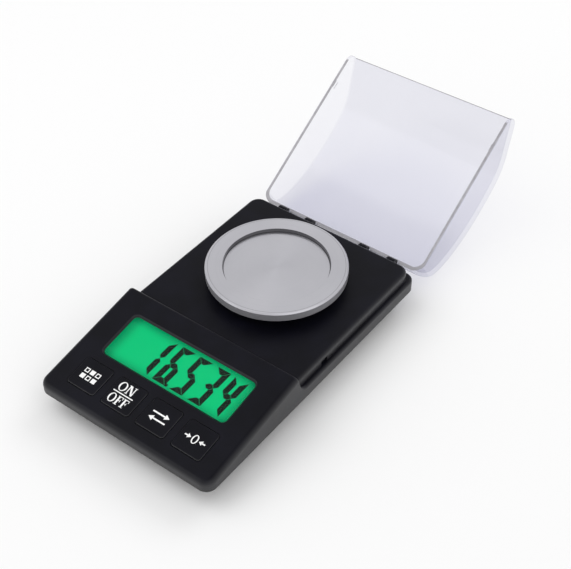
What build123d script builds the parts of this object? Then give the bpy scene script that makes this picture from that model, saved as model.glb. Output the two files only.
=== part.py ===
from build123d import *
from math import acos, cos, degrees, radians, sin, sqrt
import os

# A pocket jewelry scale with a hinged clear draught shield, in millimetres.
# X runs across the scale, Y from the keys back to the hinge and Z up from the table.
# It is laid out with Y = 0 at the front edge, and moved back at the end, so that the
# origin lies on the table under the middle of the scale with its shield open.

# Casing
BODY_WIDTH = 80.0
BODY_LENGTH = 128.0
CORNER_RADIUS = 4.2
WALL = 1.8
FLOOR = 2.0
FOOT_STAND = 2.3
BELLY_DEPTH = 6.1
BELLY_CORNER = 2.0
LIP_HEIGHT = 1.0
LEDGE_RISE = 5.4
PLATFORM_RISE = 4.6
PLATFORM_CORNER = 4.6
PLATFORM_ROUND = 1.6
SHOULDER_RADIUS = 2.2
EDGE_ROUND = 0.5
TONGUE_HEIGHT = 1.0
TONGUE_THICKNESS = 0.8
ASSEMBLY_GAP = 0.1

# Inclined front panel
PANEL_FRONT_RISE = 4.4
PANEL_TILT = 10.6
PANEL_LENGTH = 50.6
PANEL_BACK_LEAN = 18.0
PANEL_BACK_ROUND = 1.2
SLOT_ROUND = 3.4

# Display, measured along the slope from the front edge
WINDOW_INSET = 11.5
WINDOW_HEIGHT = 19.1
WINDOW_MIDDLE = 32.4
WINDOW_CORNER = 1.8
WINDOW_BEVEL = 0.9
LENS_THICKNESS = 1.0
LENS_LAP = 1.8
GLASS_THICKNESS = 1.8
GLASS_LAP = 0.9
BACKLIGHT_THICKNESS = 1.9
BACKLIGHT_SHORT = 3.0
ZEBRA_WIDTH = 1.6
ZEBRA_END_GAP = 3.0
FRAME_WALL = 1.2
FRAME_CORNER = 1.0

# Keys and their switches
KEY_NAMES = ("count_key", "power_key", "mode_key", "tare_key")
KEY_END_INSET = 15.4
KEY_WIDTH = 13.0
KEY_HEIGHT = 12.2
KEY_CORNER = 1.2
KEY_MIDDLE = 12.1
KEY_PROUD = 0.35
KEY_GAP = 0.2
KEY_FLANGE = 0.7
KEY_FLANGE_THICKNESS = 0.8
KEY_STEM_RADIUS = 1.4
KEY_TRAVEL = 0.5
SWITCH_SIZE = 6.0
SWITCH_HEIGHT = 2.0
PLUNGER_RADIUS = 1.7
PLUNGER_PROUD = 0.7
PLUNGER_DEPTH = 0.8
RUNNING_GAP = 0.1

# Main board
BOARD_DEPTH = 6.2
BOARD_THICKNESS = 1.2
BOARD_FRONT = 6.5
BOARD_BACK = 45.0
BOARD_SCREW_GAP = 0.2
BOARD_SCREW_AT = (24.5, 41.0)
BOARD_POST_RADIUS = 1.9
BOARD_CORNER = 2.0
CONTROLLER_AT = (-8.0, 26.0)
CONTROLLER_SIZE = (12.0, 12.0, 1.5)
CONVERTER_AT = (14.0, 32.0)
CONVERTER_SIZE = (6.0, 9.0, 1.5)
CAPACITOR_RADIUS = 2.0
CAPACITOR_HEIGHT = 3.0
CAPACITOR_ALONG = 38.0
CAPACITOR_XS = (4.0, 24.0)

# Weighing pan and what carries it
PAN_FROM_BACK = 37.8
PAN_RADIUS = 27.6
PAN_RECESS_RADIUS = 20.6
PAN_RECESS = 1.4
PAN_SHEET = 1.2
PAN_SIDE = 3.4
PAN_TOP_RISE = 7.7
PAN_CHAMFER = 0.5
PAN_SPIGOT = 0.9
SPIGOT_GAP = 0.4
TABLE_RADIUS = 12.0
TABLE_THICKNESS = 2.2
TABLE_SINK = 1.0
CUSHION_THICKNESS = 1.0
CUSHION_INNER = 7.0
POST_RADIUS = 3.5
POST_HOLE_RADIUS = 6.0

# Load cell
BEAM_LENGTH = 44.0
BEAM_WIDTH = 10.0
BEAM_HEIGHT = 6.0
BEAM_STAND = 1.8
BEAM_EYE_RADIUS = 2.2
BEAM_EYE_SPACING = 12.0
BEAM_SLOT = 1.2
BEAM_END_GRIP = 11.0
BEAM_SCREW_SPACING = 5.6
ARM_THICKNESS = 1.2
ARM_CLEARANCE = 0.8
STOP_GAP = 0.3
GAUGE_THICKNESS = 0.2
GAUGE_SIZE = (5.0, 3.0)

# Cells and their compartment
CELL_RADIUS = 5.25
CELL_LENGTH = 44.5
CELL_NUB_LENGTH = 1.0
CELL_NUB_RADIUS = 1.9
CELL_EDGE_ROUND = 0.4
CELL_PITCH = 10.8
CELL_GAP = 0.3
CONTACT_SPACE = 2.8
CONTACT_THICKNESS = 0.4
CONTACT_SIZE = (7.0, 8.0)
LEAF_WIDTH = 3.2
SOLDER_TAB_WIDTH = 2.4
SOLDER_SLOT = 2.0
BRIDGE_WIDTH = 4.0
TRAY_WALL = 1.2
TRAY_ROOF = 0.8
TRAY_FRONT = 57.0
DOOR_THICKNESS = 1.4
DOOR_GAP = 0.2
DOOR_TONGUE = 1.0
DOOR_TONGUE_HEIGHT = 0.7
DOOR_GRIP_COUNT = 5

# Fasteners and feet
SCREW_RADIUS = 1.1
SCREW_HEAD_RADIUS = 2.0
SCREW_HEAD_HEIGHT = 1.2
CASE_SCREW_SIDE = 9.0
CASE_SCREW_FRONT = 49.0
CASE_SCREW_FROM_BACK = 15.5
CASE_SCREW_LENGTH = 9.5
BOSS_RADIUS = 2.6
FOOT_RADIUS = 3.5
FOOT_RECESS = 0.5
FOOT_SIDE = 11.5
FOOT_INSET = 9.6

# Clear shield and its hinge, laid out closed and then swung open. Its front slopes down from
# the brow to a point that lies over the panel, and the nose is that point rounded off.
LID_HEIGHT = 23.1
LID_BACK_WALL = 3.2
LID_POINT_LAP = 5.2
LID_BROW_RUN = 22.0
LID_BROW_RADIUS = 20.0
LID_WALL = 1.5
LID_SIDE_GAP = 0.25
LID_SEAT_GAP = 0.2
LID_NOSE_RADIUS = 4.6
LID_CORNER = 6.0
LID_CORNER_EASE = 0.25
LID_EDGE_ROUND = 0.5
SHEET_EDGE_GAP = 0.3
LID_OPEN = 148.0
HINGE_BEHIND = 1.48
HINGE_DROP = 1.28
HINGE_RADIUS = 1.5
EAR_RADIUS = 2.4
HINGE_X = 20.2
TAB_WIDTH = 9.3
EAR_WIDTH = 3.7
HINGE_SIDE_GAP = 0.25
HINGE_RELIEF = 0.3
PIN_RADIUS = 0.75
PIN_PRESS_GAP = 0.02
PIN_RUNNING_GAP = 0.06
TAB_WEB = 4.0
HEEL_DROP = 3.4
HEEL_GAP = 0.12
CATCH_BACK = 59.5
CATCH_LENGTH = 3.2
CATCH_HEIGHT = 1.8
CATCH_BUMP = 0.22
CATCH_DEPTH = 0.8

# Leads
LEAD_RADIUS = 0.45
LEAD_LANDING = 42.0
LEAD_STRAIGHT = 1.6
LEAD_SIDESTEP = 6.0
LEAD_BEND = 0.8
GAUGE_LEAD_RADIUS = 0.3
GAUGE_LEAD_PITCH = 0.9
GAUGE_LEAD_RUN = 5.0
GAUGE_LEAD_BACK = 10.0
GAUGE_LEAD_BEND = 0.35

# Levels and places that follow from the sizes above
EDGE_Z = FOOT_STAND + BELLY_DEPTH
PARTING_Z = EDGE_Z + LIP_HEIGHT
LEDGE_Z = EDGE_Z + LEDGE_RISE
PLATFORM_Z = LEDGE_Z + PLATFORM_RISE
FLOOR_Z = FOOT_STAND + FLOOR
PAN_Y = BODY_LENGTH - PAN_FROM_BACK
WINDOW_WIDTH = BODY_WIDTH - 2 * WINDOW_INSET
LEDGE_WIDTH = LID_WALL + LID_SIDE_GAP
PANEL_FRONT_Z = EDGE_Z + PANEL_FRONT_RISE
PANEL_SLOPE = sin(radians(PANEL_TILT)) / cos(radians(PANEL_TILT))
TALL = 4 * BODY_WIDTH
PAN_TOP_Z = PLATFORM_Z + PAN_TOP_RISE
PAN_FLOOR_Z = PAN_TOP_Z - PAN_RECESS
PAN_UNDER_Z = PAN_FLOOR_Z - PAN_SHEET
TABLE_TOP_Z = PAN_UNDER_Z - CUSHION_THICKNESS
TABLE_UNDER_Z = TABLE_TOP_Z - TABLE_THICKNESS
BEAM_Z = FLOOR_Z + BEAM_STAND
BEAM_TOP_Z = BEAM_Z + BEAM_HEIGHT
ARM_Z = BEAM_TOP_Z + ARM_CLEARANCE
ARM_TOP_Z = ARM_Z + ARM_THICKNESS
FIXED_END_Y = PAN_Y - BEAM_LENGTH / 2
FREE_END_Y = PAN_Y + BEAM_LENGTH / 2
DOOR_TOP_Z = FOOT_STAND + DOOR_THICKNESS
CELL_Z = DOOR_TOP_Z + CELL_GAP + CELL_RADIUS
TRAY_LENGTH = CELL_LENGTH + 2 * CONTACT_SPACE
TRAY_BACK = TRAY_FRONT + TRAY_LENGTH
TRAY_LEFT = -(BODY_WIDTH / 2 - LEDGE_WIDTH - WALL - ASSEMBLY_GAP)
CELL_XS = (
    TRAY_LEFT + TRAY_WALL + CELL_GAP + CELL_RADIUS,
    TRAY_LEFT + TRAY_WALL + CELL_GAP + CELL_RADIUS + CELL_PITCH,
)
TRAY_RIGHT = CELL_XS[1] + CELL_RADIUS + CELL_GAP + TRAY_WALL
TRAY_ROOF_Z = CELL_Z + CELL_RADIUS + CELL_GAP / 2
KEY_PITCH = (BODY_WIDTH - 2 * KEY_END_INSET) / (len(KEY_NAMES) - 1)
KEY_XS = [KEY_PITCH * (i - (len(KEY_NAMES) - 1) / 2) for i in range(len(KEY_NAMES))]
STEM_DEPTH = BOARD_DEPTH - SWITCH_HEIGHT - PLUNGER_PROUD
RIM_Z = LEDGE_Z + LID_SEAT_GAP
HINGE_Y = BODY_LENGTH + HINGE_BEHIND
HINGE_Z = LEDGE_Z - HINGE_DROP
LID_POINT_Y = PANEL_LENGTH - LID_POINT_LAP
LID_BROW_Y = LID_POINT_Y + LID_BROW_RUN
CASE_SCREW_X = BODY_WIDTH / 2 - CASE_SCREW_SIDE
CASE_SCREW_REAR = BODY_LENGTH - CASE_SCREW_FROM_BACK
CASE_SCREWS = [(x, y) for x in (-CASE_SCREW_X, CASE_SCREW_X) for y in (CASE_SCREW_FRONT, CASE_SCREW_REAR)]
FOOT_X = BODY_WIDTH / 2 - FOOT_SIDE
FEET = [(x, y) for x in (-FOOT_X, FOOT_X) for y in (FOOT_INSET, BODY_LENGTH - FOOT_INSET)]
FRAME_HALF_WIDTH = WINDOW_WIDTH / 2 + GLASS_LAP + ASSEMBLY_GAP + FRAME_WALL
BOARD_SCREW_X = FRAME_HALF_WIDTH + BOARD_SCREW_GAP + BOARD_POST_RADIUS
BOARD_WIDTH = 2 * (BOARD_SCREW_X + BOARD_POST_RADIUS)
BOARD_SCREWS = [(x, along) for x in (-BOARD_SCREW_X, BOARD_SCREW_X) for along in BOARD_SCREW_AT]
PANEL_FRAME = Plane(
    origin=(0, 0, PANEL_FRONT_Z),
    x_dir=(1, 0, 0),
    z_dir=(0, -sin(radians(PANEL_TILT)), cos(radians(PANEL_TILT))),
)
UP = (Align.CENTER, Align.CENTER, Align.MIN)
DOWN = (Align.CENTER, Align.CENTER, Align.MAX)

parts = {}


def block(x0, x1, y0, y1, z0, z1):
    """A box between two corners."""
    middle = Pos((x0 + x1) / 2, (y0 + y1) / 2, (z0 + z1) / 2)
    return middle * Box(x1 - x0, y1 - y0, z1 - z0)


def post(x, y, z0, z1, radius):
    """A round upright from z0 to z1."""
    return Pos(x, y, z0) * Cylinder(radius, z1 - z0, align=UP)


def on_panel(x, along, depth):
    """A place under the inclined panel: along its slope from the front, and down from its face."""
    return PANEL_FRAME.location * Pos(x, along, -depth)


def panel_plate(width, height, along, top, bottom, corner=0.0):
    """A plate parallel to the panel, between two depths below its face."""
    shape = RectangleRounded(width, height, corner) if corner else Rectangle(width, height)
    return on_panel(0, along, bottom) * extrude(shape, amount=bottom - top)


def plan(inset, corner=CORNER_RADIUS):
    """The casing's outline seen from above, drawn in by the inset."""
    radius = max(corner - inset, CORNER_RADIUS / 12)
    return Pos(0, BODY_LENGTH / 2) * RectangleRounded(BODY_WIDTH - 2 * inset, BODY_LENGTH - 2 * inset, radius)


def prism(inset, z0, z1, corner=CORNER_RADIUS):
    """The outline, drawn in, as a solid between two levels."""
    return Pos(0, 0, z0) * extrude(plan(inset, corner), amount=z1 - z0)


def side_profile(points, corner_index=None, corner_radius=0.0):
    """A solid across the whole width from a closed outline of (Y, Z) points."""
    face = make_face(Polyline(*points, close=True))
    if corner_index is not None:
        corner = sorted(face.vertices(), key=lambda v: (v.X - points[corner_index][0]) ** 2
                        + (v.Y - points[corner_index][1]) ** 2)[0]
        face = fillet(corner, corner_radius)
    return extrude(Plane.YZ * face, amount=TALL / 2, both=True)


def above_panel(depth):
    """Everything above the plane that lies this far below the panel's face."""
    return on_panel(0, 0, depth) * Box(TALL, TALL, TALL, align=UP)


def behind_panel(inset):
    """Everything above the ledge and behind the panel's leaning back face, both moved in by the inset."""
    lean = sin(radians(PANEL_BACK_LEAN)) / cos(radians(PANEL_BACK_LEAN))
    edge_y = PANEL_LENGTH - inset / cos(radians(PANEL_BACK_LEAN))
    edge_z = PANEL_FRONT_Z + PANEL_SLOPE * PANEL_LENGTH
    foot_z = LEDGE_Z - inset
    points = [
        (edge_y - lean * (TALL - edge_z), TALL),
        (edge_y + lean * (edge_z - foot_z), foot_z),
        (TALL, foot_z),
        (TALL, TALL),
    ]
    return side_profile(points, 1, SLOT_ROUND + inset)


def screw(head_z, tip_z, x=0.0, y=0.0, radius=SCREW_RADIUS, head=SCREW_HEAD_RADIUS):
    """A pan-head screw along Z with a cross recess in its head; the tip may lie above or below."""
    sign = 1 if tip_z > head_z else -1
    head_top = head_z - sign * SCREW_HEAD_HEIGHT
    low, high = sorted((head_z, tip_z))
    body = post(x, y, low, high, radius)
    low, high = sorted((head_z, head_top))
    body += post(x, y, low, high, head)
    slot_length = 1.4 * head
    slot = Box(slot_length, radius / 2, SCREW_HEAD_HEIGHT) + Box(radius / 2, slot_length, SCREW_HEAD_HEIGHT)
    return body - Pos(x, y, head_top) * slot


def lead(points, radius, bend):
    """A round lead along straight runs with one bend radius."""
    path = FilletPolyline(*points, radius=bend)
    return sweep(Plane(origin=path @ 0, z_dir=path % 0) * Circle(radius), path=path)


def mirrored(solid):
    """The solid and its mirror image across the middle of the scale."""
    return solid + solid.mirror(Plane.YZ)


def pieces(*solids):
    """Separate solids that share one node."""
    return Compound(children=[s for solid in solids for s in solid.solids()])


# Upper casing

def outer_form():
    """The upper casing's outside: the panel wedge with the ledge behind it, and the raised platform."""
    wedge = prism(0, PARTING_Z, BODY_WIDTH) - above_panel(0)
    rim = wedge.faces().sort_by(Axis.Z)[-1].outer_wire().edges()
    wedge = fillet(rim, SHOULDER_RADIUS)
    wedge -= behind_panel(0)
    back_edges = [e for e in wedge.edges() if abs(e.center().X) > BODY_WIDTH / 2 - EDGE_ROUND
                  and e.center().Y > PANEL_LENGTH and e.center().Z > LEDGE_Z + SLOT_ROUND]
    wedge = fillet(back_edges, PANEL_BACK_ROUND)
    platform = prism(LEDGE_WIDTH, PARTING_Z, PLATFORM_Z, LEDGE_WIDTH + PLATFORM_CORNER)
    platform = fillet(platform.faces().sort_by(Axis.Z)[-1].outer_wire().edges(), PLATFORM_ROUND)
    platform -= block(-TALL, TALL, -TALL, PANEL_LENGTH - WALL, 0, TALL)
    return wedge + platform


def inner_form():
    """The upper casing's hollow."""
    wedge = prism(WALL, PARTING_Z, BODY_WIDTH) - above_panel(WALL) - behind_panel(WALL)
    rear = prism(LEDGE_WIDTH + WALL, PARTING_Z, PLATFORM_Z - WALL, LEDGE_WIDTH + PLATFORM_CORNER)
    rear -= block(-TALL, TALL, -TALL, PANEL_LENGTH - 4 * WALL, 0, TALL)
    rebate_inset = WALL - TONGUE_THICKNESS - ASSEMBLY_GAP
    rebate = prism(rebate_inset, PARTING_Z, PARTING_Z + TONGUE_HEIGHT + ASSEMBLY_GAP)
    return wedge + rear + rebate


def window_cut():
    """The display opening with its bevelled edge, and the rebate that the lens is glued into."""
    opening = panel_plate(WINDOW_WIDTH, WINDOW_HEIGHT, WINDOW_MIDDLE, -WALL, 2 * WALL, WINDOW_CORNER)
    narrow = RectangleRounded(WINDOW_WIDTH, WINDOW_HEIGHT, WINDOW_CORNER)
    wide = Pos(0, 0, WINDOW_BEVEL) * RectangleRounded(
        WINDOW_WIDTH + 2 * WINDOW_BEVEL, WINDOW_HEIGHT + 2 * WINDOW_BEVEL, WINDOW_CORNER + WINDOW_BEVEL)
    bevel = loft([narrow.face(), wide.face()], ruled=True)
    bevel = on_panel(0, WINDOW_MIDDLE, WINDOW_BEVEL) * bevel
    lap = 2 * (LENS_LAP + ASSEMBLY_GAP)
    rebate = panel_plate(WINDOW_WIDTH + lap, WINDOW_HEIGHT + lap, WINDOW_MIDDLE,
                         WALL - LENS_THICKNESS, 2 * WALL)
    return opening + bevel + rebate


def key_shape(grow):
    """A key's outline, larger all round by the growth."""
    return RectangleRounded(KEY_WIDTH + 2 * grow, KEY_HEIGHT + 2 * grow, KEY_CORNER + grow)


def hinge_ear(x0, x1):
    """One hinge ear behind the casing, with its bore."""
    return across(x0, x1, EAR_RADIUS) + block(x0, x1, BODY_LENGTH - WALL / 2, HINGE_Y,
                                              HINGE_Z - EAR_RADIUS, LEDGE_Z)


def across(x0, x1, radius):
    """A round bar or bore along the hinge axis."""
    return Pos((x0 + x1) / 2, HINGE_Y, HINGE_Z) * (Rot(0, 90, 0) * Cylinder(radius, x1 - x0))


TAB_LEFT = HINGE_X - TAB_WIDTH / 2
TAB_RIGHT = HINGE_X + TAB_WIDTH / 2
EAR_SPANS = (
    (TAB_LEFT - HINGE_SIDE_GAP - EAR_WIDTH, TAB_LEFT - HINGE_SIDE_GAP),
    (TAB_RIGHT + HINGE_SIDE_GAP, TAB_RIGHT + HINGE_SIDE_GAP + EAR_WIDTH),
)


def upper_casing():
    outer = outer_form()
    shell = outer - inner_form()
    bosses = [post(x, y, PARTING_Z + ASSEMBLY_GAP, TALL, BOSS_RADIUS) & outer for x, y in CASE_SCREWS]
    post_height = BOARD_DEPTH - ASSEMBLY_GAP - WALL / 2
    board_post = Cylinder(BOARD_POST_RADIUS, post_height, align=UP)
    bosses += [on_panel(x, along, BOARD_DEPTH - ASSEMBLY_GAP) * board_post for x, along in BOARD_SCREWS]
    for boss in bosses:
        shell += boss
    for x, y in CASE_SCREWS:
        shell -= post(x, y, PARTING_Z, FLOOR_Z - FLOOR / 2 + CASE_SCREW_LENGTH + ASSEMBLY_GAP, SCREW_RADIUS)
    for x, along in BOARD_SCREWS:
        shell -= on_panel(x, along, BOARD_DEPTH) * Cylinder(SCREW_RADIUS, BOARD_DEPTH - WALL, align=UP)
    shell -= window_cut()
    for x in KEY_XS:
        shell -= on_panel(x, KEY_MIDDLE, 2 * WALL) * extrude(key_shape(KEY_GAP), amount=4 * WALL)
    shell -= post(0, PAN_Y, 0, TALL, POST_HOLE_RADIUS)
    for x0, x1 in EAR_SPANS:
        shell += mirrored(hinge_ear(x0, x1))
        shell -= mirrored(across(x0 - WALL, x1 + WALL, PIN_RADIUS + PIN_PRESS_GAP))
    relief = across(TAB_LEFT - HINGE_SIDE_GAP, TAB_RIGHT + HINGE_SIDE_GAP, HINGE_RADIUS + HINGE_RELIEF)
    shell -= mirrored(relief)
    catch_x = BODY_WIDTH / 2 - LEDGE_WIDTH
    catch_y = BODY_LENGTH - CATCH_BACK
    catch = block(catch_x - CATCH_DEPTH, catch_x + CATCH_DEPTH, catch_y - CATCH_LENGTH / 2 - CATCH_BUMP,
                  catch_y + CATCH_LENGTH / 2 + CATCH_BUMP, LEDGE_Z, LEDGE_Z + CATCH_HEIGHT + 2 * CATCH_BUMP)
    return shell - mirrored(catch)


parts["upper_casing"] = upper_casing()


# Lower casing with the cell compartment and its sliding door

def belly(inset, floor_z, turn_z):
    """The lower casing's form: an upright lip over a belly that narrows at 45 degrees."""
    depth = turn_z - floor_z
    wide = Pos(0, 0, turn_z) * plan(inset)
    low_corner = max(BELLY_CORNER - inset, BELLY_CORNER / 4)
    narrow = Pos(0, BODY_LENGTH / 2, floor_z) * RectangleRounded(
        BODY_WIDTH - 2 * (inset + depth), BODY_LENGTH - 2 * (inset + depth), low_corner)
    return prism(inset, turn_z, PARTING_Z) + loft([narrow.face(), wide.face()], ruled=True)


DOOR_LEFT = -TALL
DOOR_RIGHT = TRAY_RIGHT - TRAY_WALL
DOOR_EDGE_Z = EDGE_Z - 1.5 * EDGE_ROUND
TONGUE_Z = DOOR_TOP_Z - DOOR_TONGUE_HEIGHT


def casing_shell():
    """The lower casing before anything is cut from it or added to it."""
    turn_rise = WALL * (sqrt(2) - 1)
    form = belly(0, FOOT_STAND, EDGE_Z)
    return form - belly(WALL, FLOOR_Z, EDGE_Z + turn_rise)


def door_space(gap):
    """Where the door lies, grown by the gap, with the grooves for its two tongues."""
    plate = block(DOOR_LEFT, DOOR_RIGHT + gap, TRAY_FRONT - gap, TRAY_BACK + gap, 0, DOOR_EDGE_Z + gap)
    tongue = block(DOOR_LEFT, DOOR_RIGHT + gap, TRAY_FRONT - DOOR_TONGUE - gap, TRAY_BACK + DOOR_TONGUE + gap,
                   TONGUE_Z - gap / 2, DOOR_TOP_Z + gap / 2)
    return plate + tongue


def battery_door(shell):
    door = shell & door_space(0)
    hollow_x = -(BODY_WIDTH / 2 - BELLY_DEPTH - WALL)
    door -= block(hollow_x, TALL, 0, TALL, DOOR_TOP_Z, TALL)
    door += block(hollow_x - WALL, DOOR_RIGHT, TRAY_FRONT - DOOR_TONGUE, TRAY_BACK + DOOR_TONGUE,
                  TONGUE_Z, DOOR_TOP_Z)
    middle_y = (TRAY_FRONT + TRAY_BACK) / 2
    for i in range(DOOR_GRIP_COUNT):
        x = hollow_x + WALL * (2 + 1.2 * i)
        door -= block(x, x + WALL / 2, middle_y - KEY_WIDTH, middle_y + KEY_WIDTH, 0, FOOT_STAND + WALL / 5)
    return door


def tray_block(grow):
    """The cell compartment, larger by its wall when grown."""
    return block(TRAY_LEFT + TRAY_WALL - grow, TRAY_RIGHT - TRAY_WALL + grow,
                 TRAY_FRONT - grow, TRAY_BACK + grow,
                 FOOT_STAND, TRAY_ROOF_Z + (TRAY_ROOF if grow else 0))


def lower_casing(shell):
    casing = shell + (prism(WALL - TONGUE_THICKNESS, PARTING_Z - WALL, PARTING_Z + TONGUE_HEIGHT)
                      - prism(WALL, 0, TALL))
    envelope = belly(0, FOOT_STAND, EDGE_Z) + prism(WALL + LEDGE_WIDTH, PARTING_Z, TALL)
    casing += (tray_block(TRAY_WALL) - tray_block(0)) & envelope
    pedestal = block(-BEAM_WIDTH / 2, BEAM_WIDTH / 2, FIXED_END_Y, FIXED_END_Y + BEAM_END_GRIP,
                     FLOOR_Z, BEAM_Z)
    casing += pedestal
    stop_y = FREE_END_Y - BEAM_END_GRIP / 2
    casing += post(0, stop_y, FLOOR_Z, BEAM_Z - 2 * STOP_GAP, BOSS_RADIUS)
    for x, y in CASE_SCREWS:
        casing += post(x, y, FLOOR_Z - FLOOR / 2, PARTING_Z, BOSS_RADIUS)
        casing -= post(x, y, 0, TALL, SCREW_RADIUS + ASSEMBLY_GAP)
        casing -= post(x, y, 0, FLOOR_Z - FLOOR / 2, SCREW_HEAD_RADIUS + ASSEMBLY_GAP)
    for x, y in FEET:
        casing -= post(x, y, 0, FOOT_STAND + FOOT_RECESS, FOOT_RADIUS + ASSEMBLY_GAP)
    for y in beam_screws(FIXED_END_Y + BEAM_END_GRIP / 2):
        casing -= post(0, y, FLOOR_Z - FLOOR / 2, TALL, SCREW_RADIUS)
    casing -= post(0, stop_y, FOOT_STAND, BEAM_Z, SCREW_RADIUS)
    for x in CELL_XS:
        casing -= lead_window(x)
    return casing - door_space(DOOR_GAP)


def beam_screws(middle_y):
    """The Y of the two screws at one end of the beam."""
    return (middle_y - BEAM_SCREW_SPACING / 2, middle_y + BEAM_SCREW_SPACING / 2)


def lead_window(x):
    """The slot in the compartment's front wall that a contact's solder tab comes through."""
    half = SOLDER_TAB_WIDTH / 2 + 3 * ASSEMBLY_GAP
    return block(x - half, x + half, TRAY_FRONT - 2 * TRAY_WALL, TRAY_FRONT + ASSEMBLY_GAP,
                 CELL_Z - SOLDER_SLOT / 2, CELL_Z + SOLDER_SLOT / 2)


belly_shell = casing_shell()
parts["lower_casing"] = lower_casing(belly_shell)
parts["battery_door"] = battery_door(belly_shell)
parts["rubber_feet"] = pieces(*[post(x, y, 0, FOOT_STAND + FOOT_RECESS, FOOT_RADIUS) for x, y in FEET])
parts["casing_screws"] = pieces(*[
    screw(FLOOR_Z - FLOOR / 2, FLOOR_Z - FLOOR / 2 + CASE_SCREW_LENGTH, x, y) for x, y in CASE_SCREWS])


# Cells and contacts

def cell(x, nub_forward):
    """One cell lying along Y, with its positive end forward or back."""
    sign = -1 if nub_forward else 1
    middle_y = (TRAY_FRONT + TRAY_BACK) / 2
    can_length = CELL_LENGTH - CELL_NUB_LENGTH
    can = Rot(90, 0, 0) * Cylinder(CELL_RADIUS, can_length)
    can = fillet(can.edges().filter_by(GeomType.CIRCLE), CELL_EDGE_ROUND)
    can = Pos(0, -sign * CELL_NUB_LENGTH / 2, 0) * can
    nub = Pos(0, sign * CELL_NUB_LENGTH / 2, 0) * (Rot(90, 0, 0) * Cylinder(CELL_NUB_RADIUS, can_length))
    return Pos(x, middle_y, CELL_Z) * (can + nub)


def leaf(x, wall_y, inward):
    """A contact plate on the compartment's end wall with a bowed leaf that presses on the cell."""
    half_x = CONTACT_SIZE[0] / 2
    half_z = CONTACT_SIZE[1] / 2
    low, high = sorted((wall_y, wall_y + inward * CONTACT_THICKNESS))
    plate = block(x - half_x, x + half_x, low, high, CELL_Z - half_z, CELL_Z + half_z)
    bow_height = CONTACT_SPACE - ASSEMBLY_GAP
    half_span = half_z - CONTACT_THICKNESS
    radius = (half_span ** 2 + bow_height ** 2) / (2 * bow_height)
    ring = Circle(radius) - Circle(radius - CONTACT_THICKNESS)
    ring = extrude(Plane.YZ * ring, amount=LEAF_WIDTH / 2, both=True)
    ring = Pos(x, wall_y + inward * (bow_height - radius), CELL_Z) * ring
    low, high = sorted((wall_y, wall_y + inward * 2 * CONTACT_SPACE))
    return plate + (ring & block(x - half_x, x + half_x, low, high, CELL_Z - half_z, CELL_Z + half_z))


def contacts():
    front = []
    for x in CELL_XS:
        tab = block(x - SOLDER_TAB_WIDTH / 2, x + SOLDER_TAB_WIDTH / 2,
                    TRAY_FRONT - 2 * TRAY_WALL, TRAY_FRONT + CONTACT_THICKNESS,
                    CELL_Z - CONTACT_THICKNESS / 2, CELL_Z + CONTACT_THICKNESS / 2)
        front.append(leaf(x, TRAY_FRONT, 1) + tab)
    bridge = block(CELL_XS[0], CELL_XS[1], TRAY_BACK - CONTACT_THICKNESS, TRAY_BACK,
                   CELL_Z - BRIDGE_WIDTH / 2, CELL_Z + BRIDGE_WIDTH / 2)
    for x in CELL_XS:
        bridge += leaf(x, TRAY_BACK, -1)
    return pieces(*front), bridge


parts["battery_cells"] = pieces(cell(CELL_XS[0], True), cell(CELL_XS[1], False))
parts["terminal_contacts"], parts["bridge_contact"] = contacts()


# Display

LENS_DEPTH = WALL
GLASS_TOP = LENS_DEPTH + ASSEMBLY_GAP
GLASS_UNDER = GLASS_TOP + GLASS_THICKNESS
GLASS_WIDTH = WINDOW_WIDTH + 2 * GLASS_LAP
GLASS_HEIGHT = WINDOW_HEIGHT + 2 * GLASS_LAP
BACKLIGHT_TOP = GLASS_UNDER + ASSEMBLY_GAP
parts["lcd_lens"] = panel_plate(WINDOW_WIDTH + 2 * LENS_LAP, WINDOW_HEIGHT + 2 * LENS_LAP, WINDOW_MIDDLE,
                                WALL - LENS_THICKNESS, WALL)
parts["lcd_glass"] = panel_plate(GLASS_WIDTH, GLASS_HEIGHT, WINDOW_MIDDLE, GLASS_TOP, GLASS_UNDER)
parts["lcd_backlight"] = panel_plate(GLASS_WIDTH, GLASS_HEIGHT - BACKLIGHT_SHORT,
                                     WINDOW_MIDDLE + BACKLIGHT_SHORT / 2, BACKLIGHT_TOP,
                                     BACKLIGHT_TOP + BACKLIGHT_THICKNESS)
zebra_along = WINDOW_MIDDLE - GLASS_HEIGHT / 2 + ZEBRA_WIDTH / 2 + ASSEMBLY_GAP
parts["zebra_strip"] = panel_plate(GLASS_WIDTH - 2 * ZEBRA_END_GAP, ZEBRA_WIDTH, zebra_along,
                                   GLASS_UNDER, BOARD_DEPTH)
frame_growth = 2 * (FRAME_WALL + ASSEMBLY_GAP)
lcd_frame = panel_plate(GLASS_WIDTH + frame_growth, GLASS_HEIGHT + frame_growth, WINDOW_MIDDLE, GLASS_TOP,
                        BOARD_DEPTH - ASSEMBLY_GAP, FRAME_CORNER)
lcd_frame -= panel_plate(GLASS_WIDTH + 2 * ASSEMBLY_GAP, GLASS_HEIGHT + 2 * ASSEMBLY_GAP,
                         WINDOW_MIDDLE, 0, TALL)
parts["lcd_frame"] = lcd_frame


# Main board with its switches and chips

def main_board():
    length = BOARD_BACK - BOARD_FRONT
    board = panel_plate(BOARD_WIDTH, length, (BOARD_FRONT + BOARD_BACK) / 2, BOARD_DEPTH,
                        BOARD_DEPTH + BOARD_THICKNESS, BOARD_CORNER)
    for x, along in BOARD_SCREWS:
        board -= on_panel(x, along, BOARD_DEPTH + BOARD_THICKNESS) * Cylinder(
            SCREW_RADIUS + ASSEMBLY_GAP, 2 * BOARD_THICKNESS)
    return board


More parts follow.
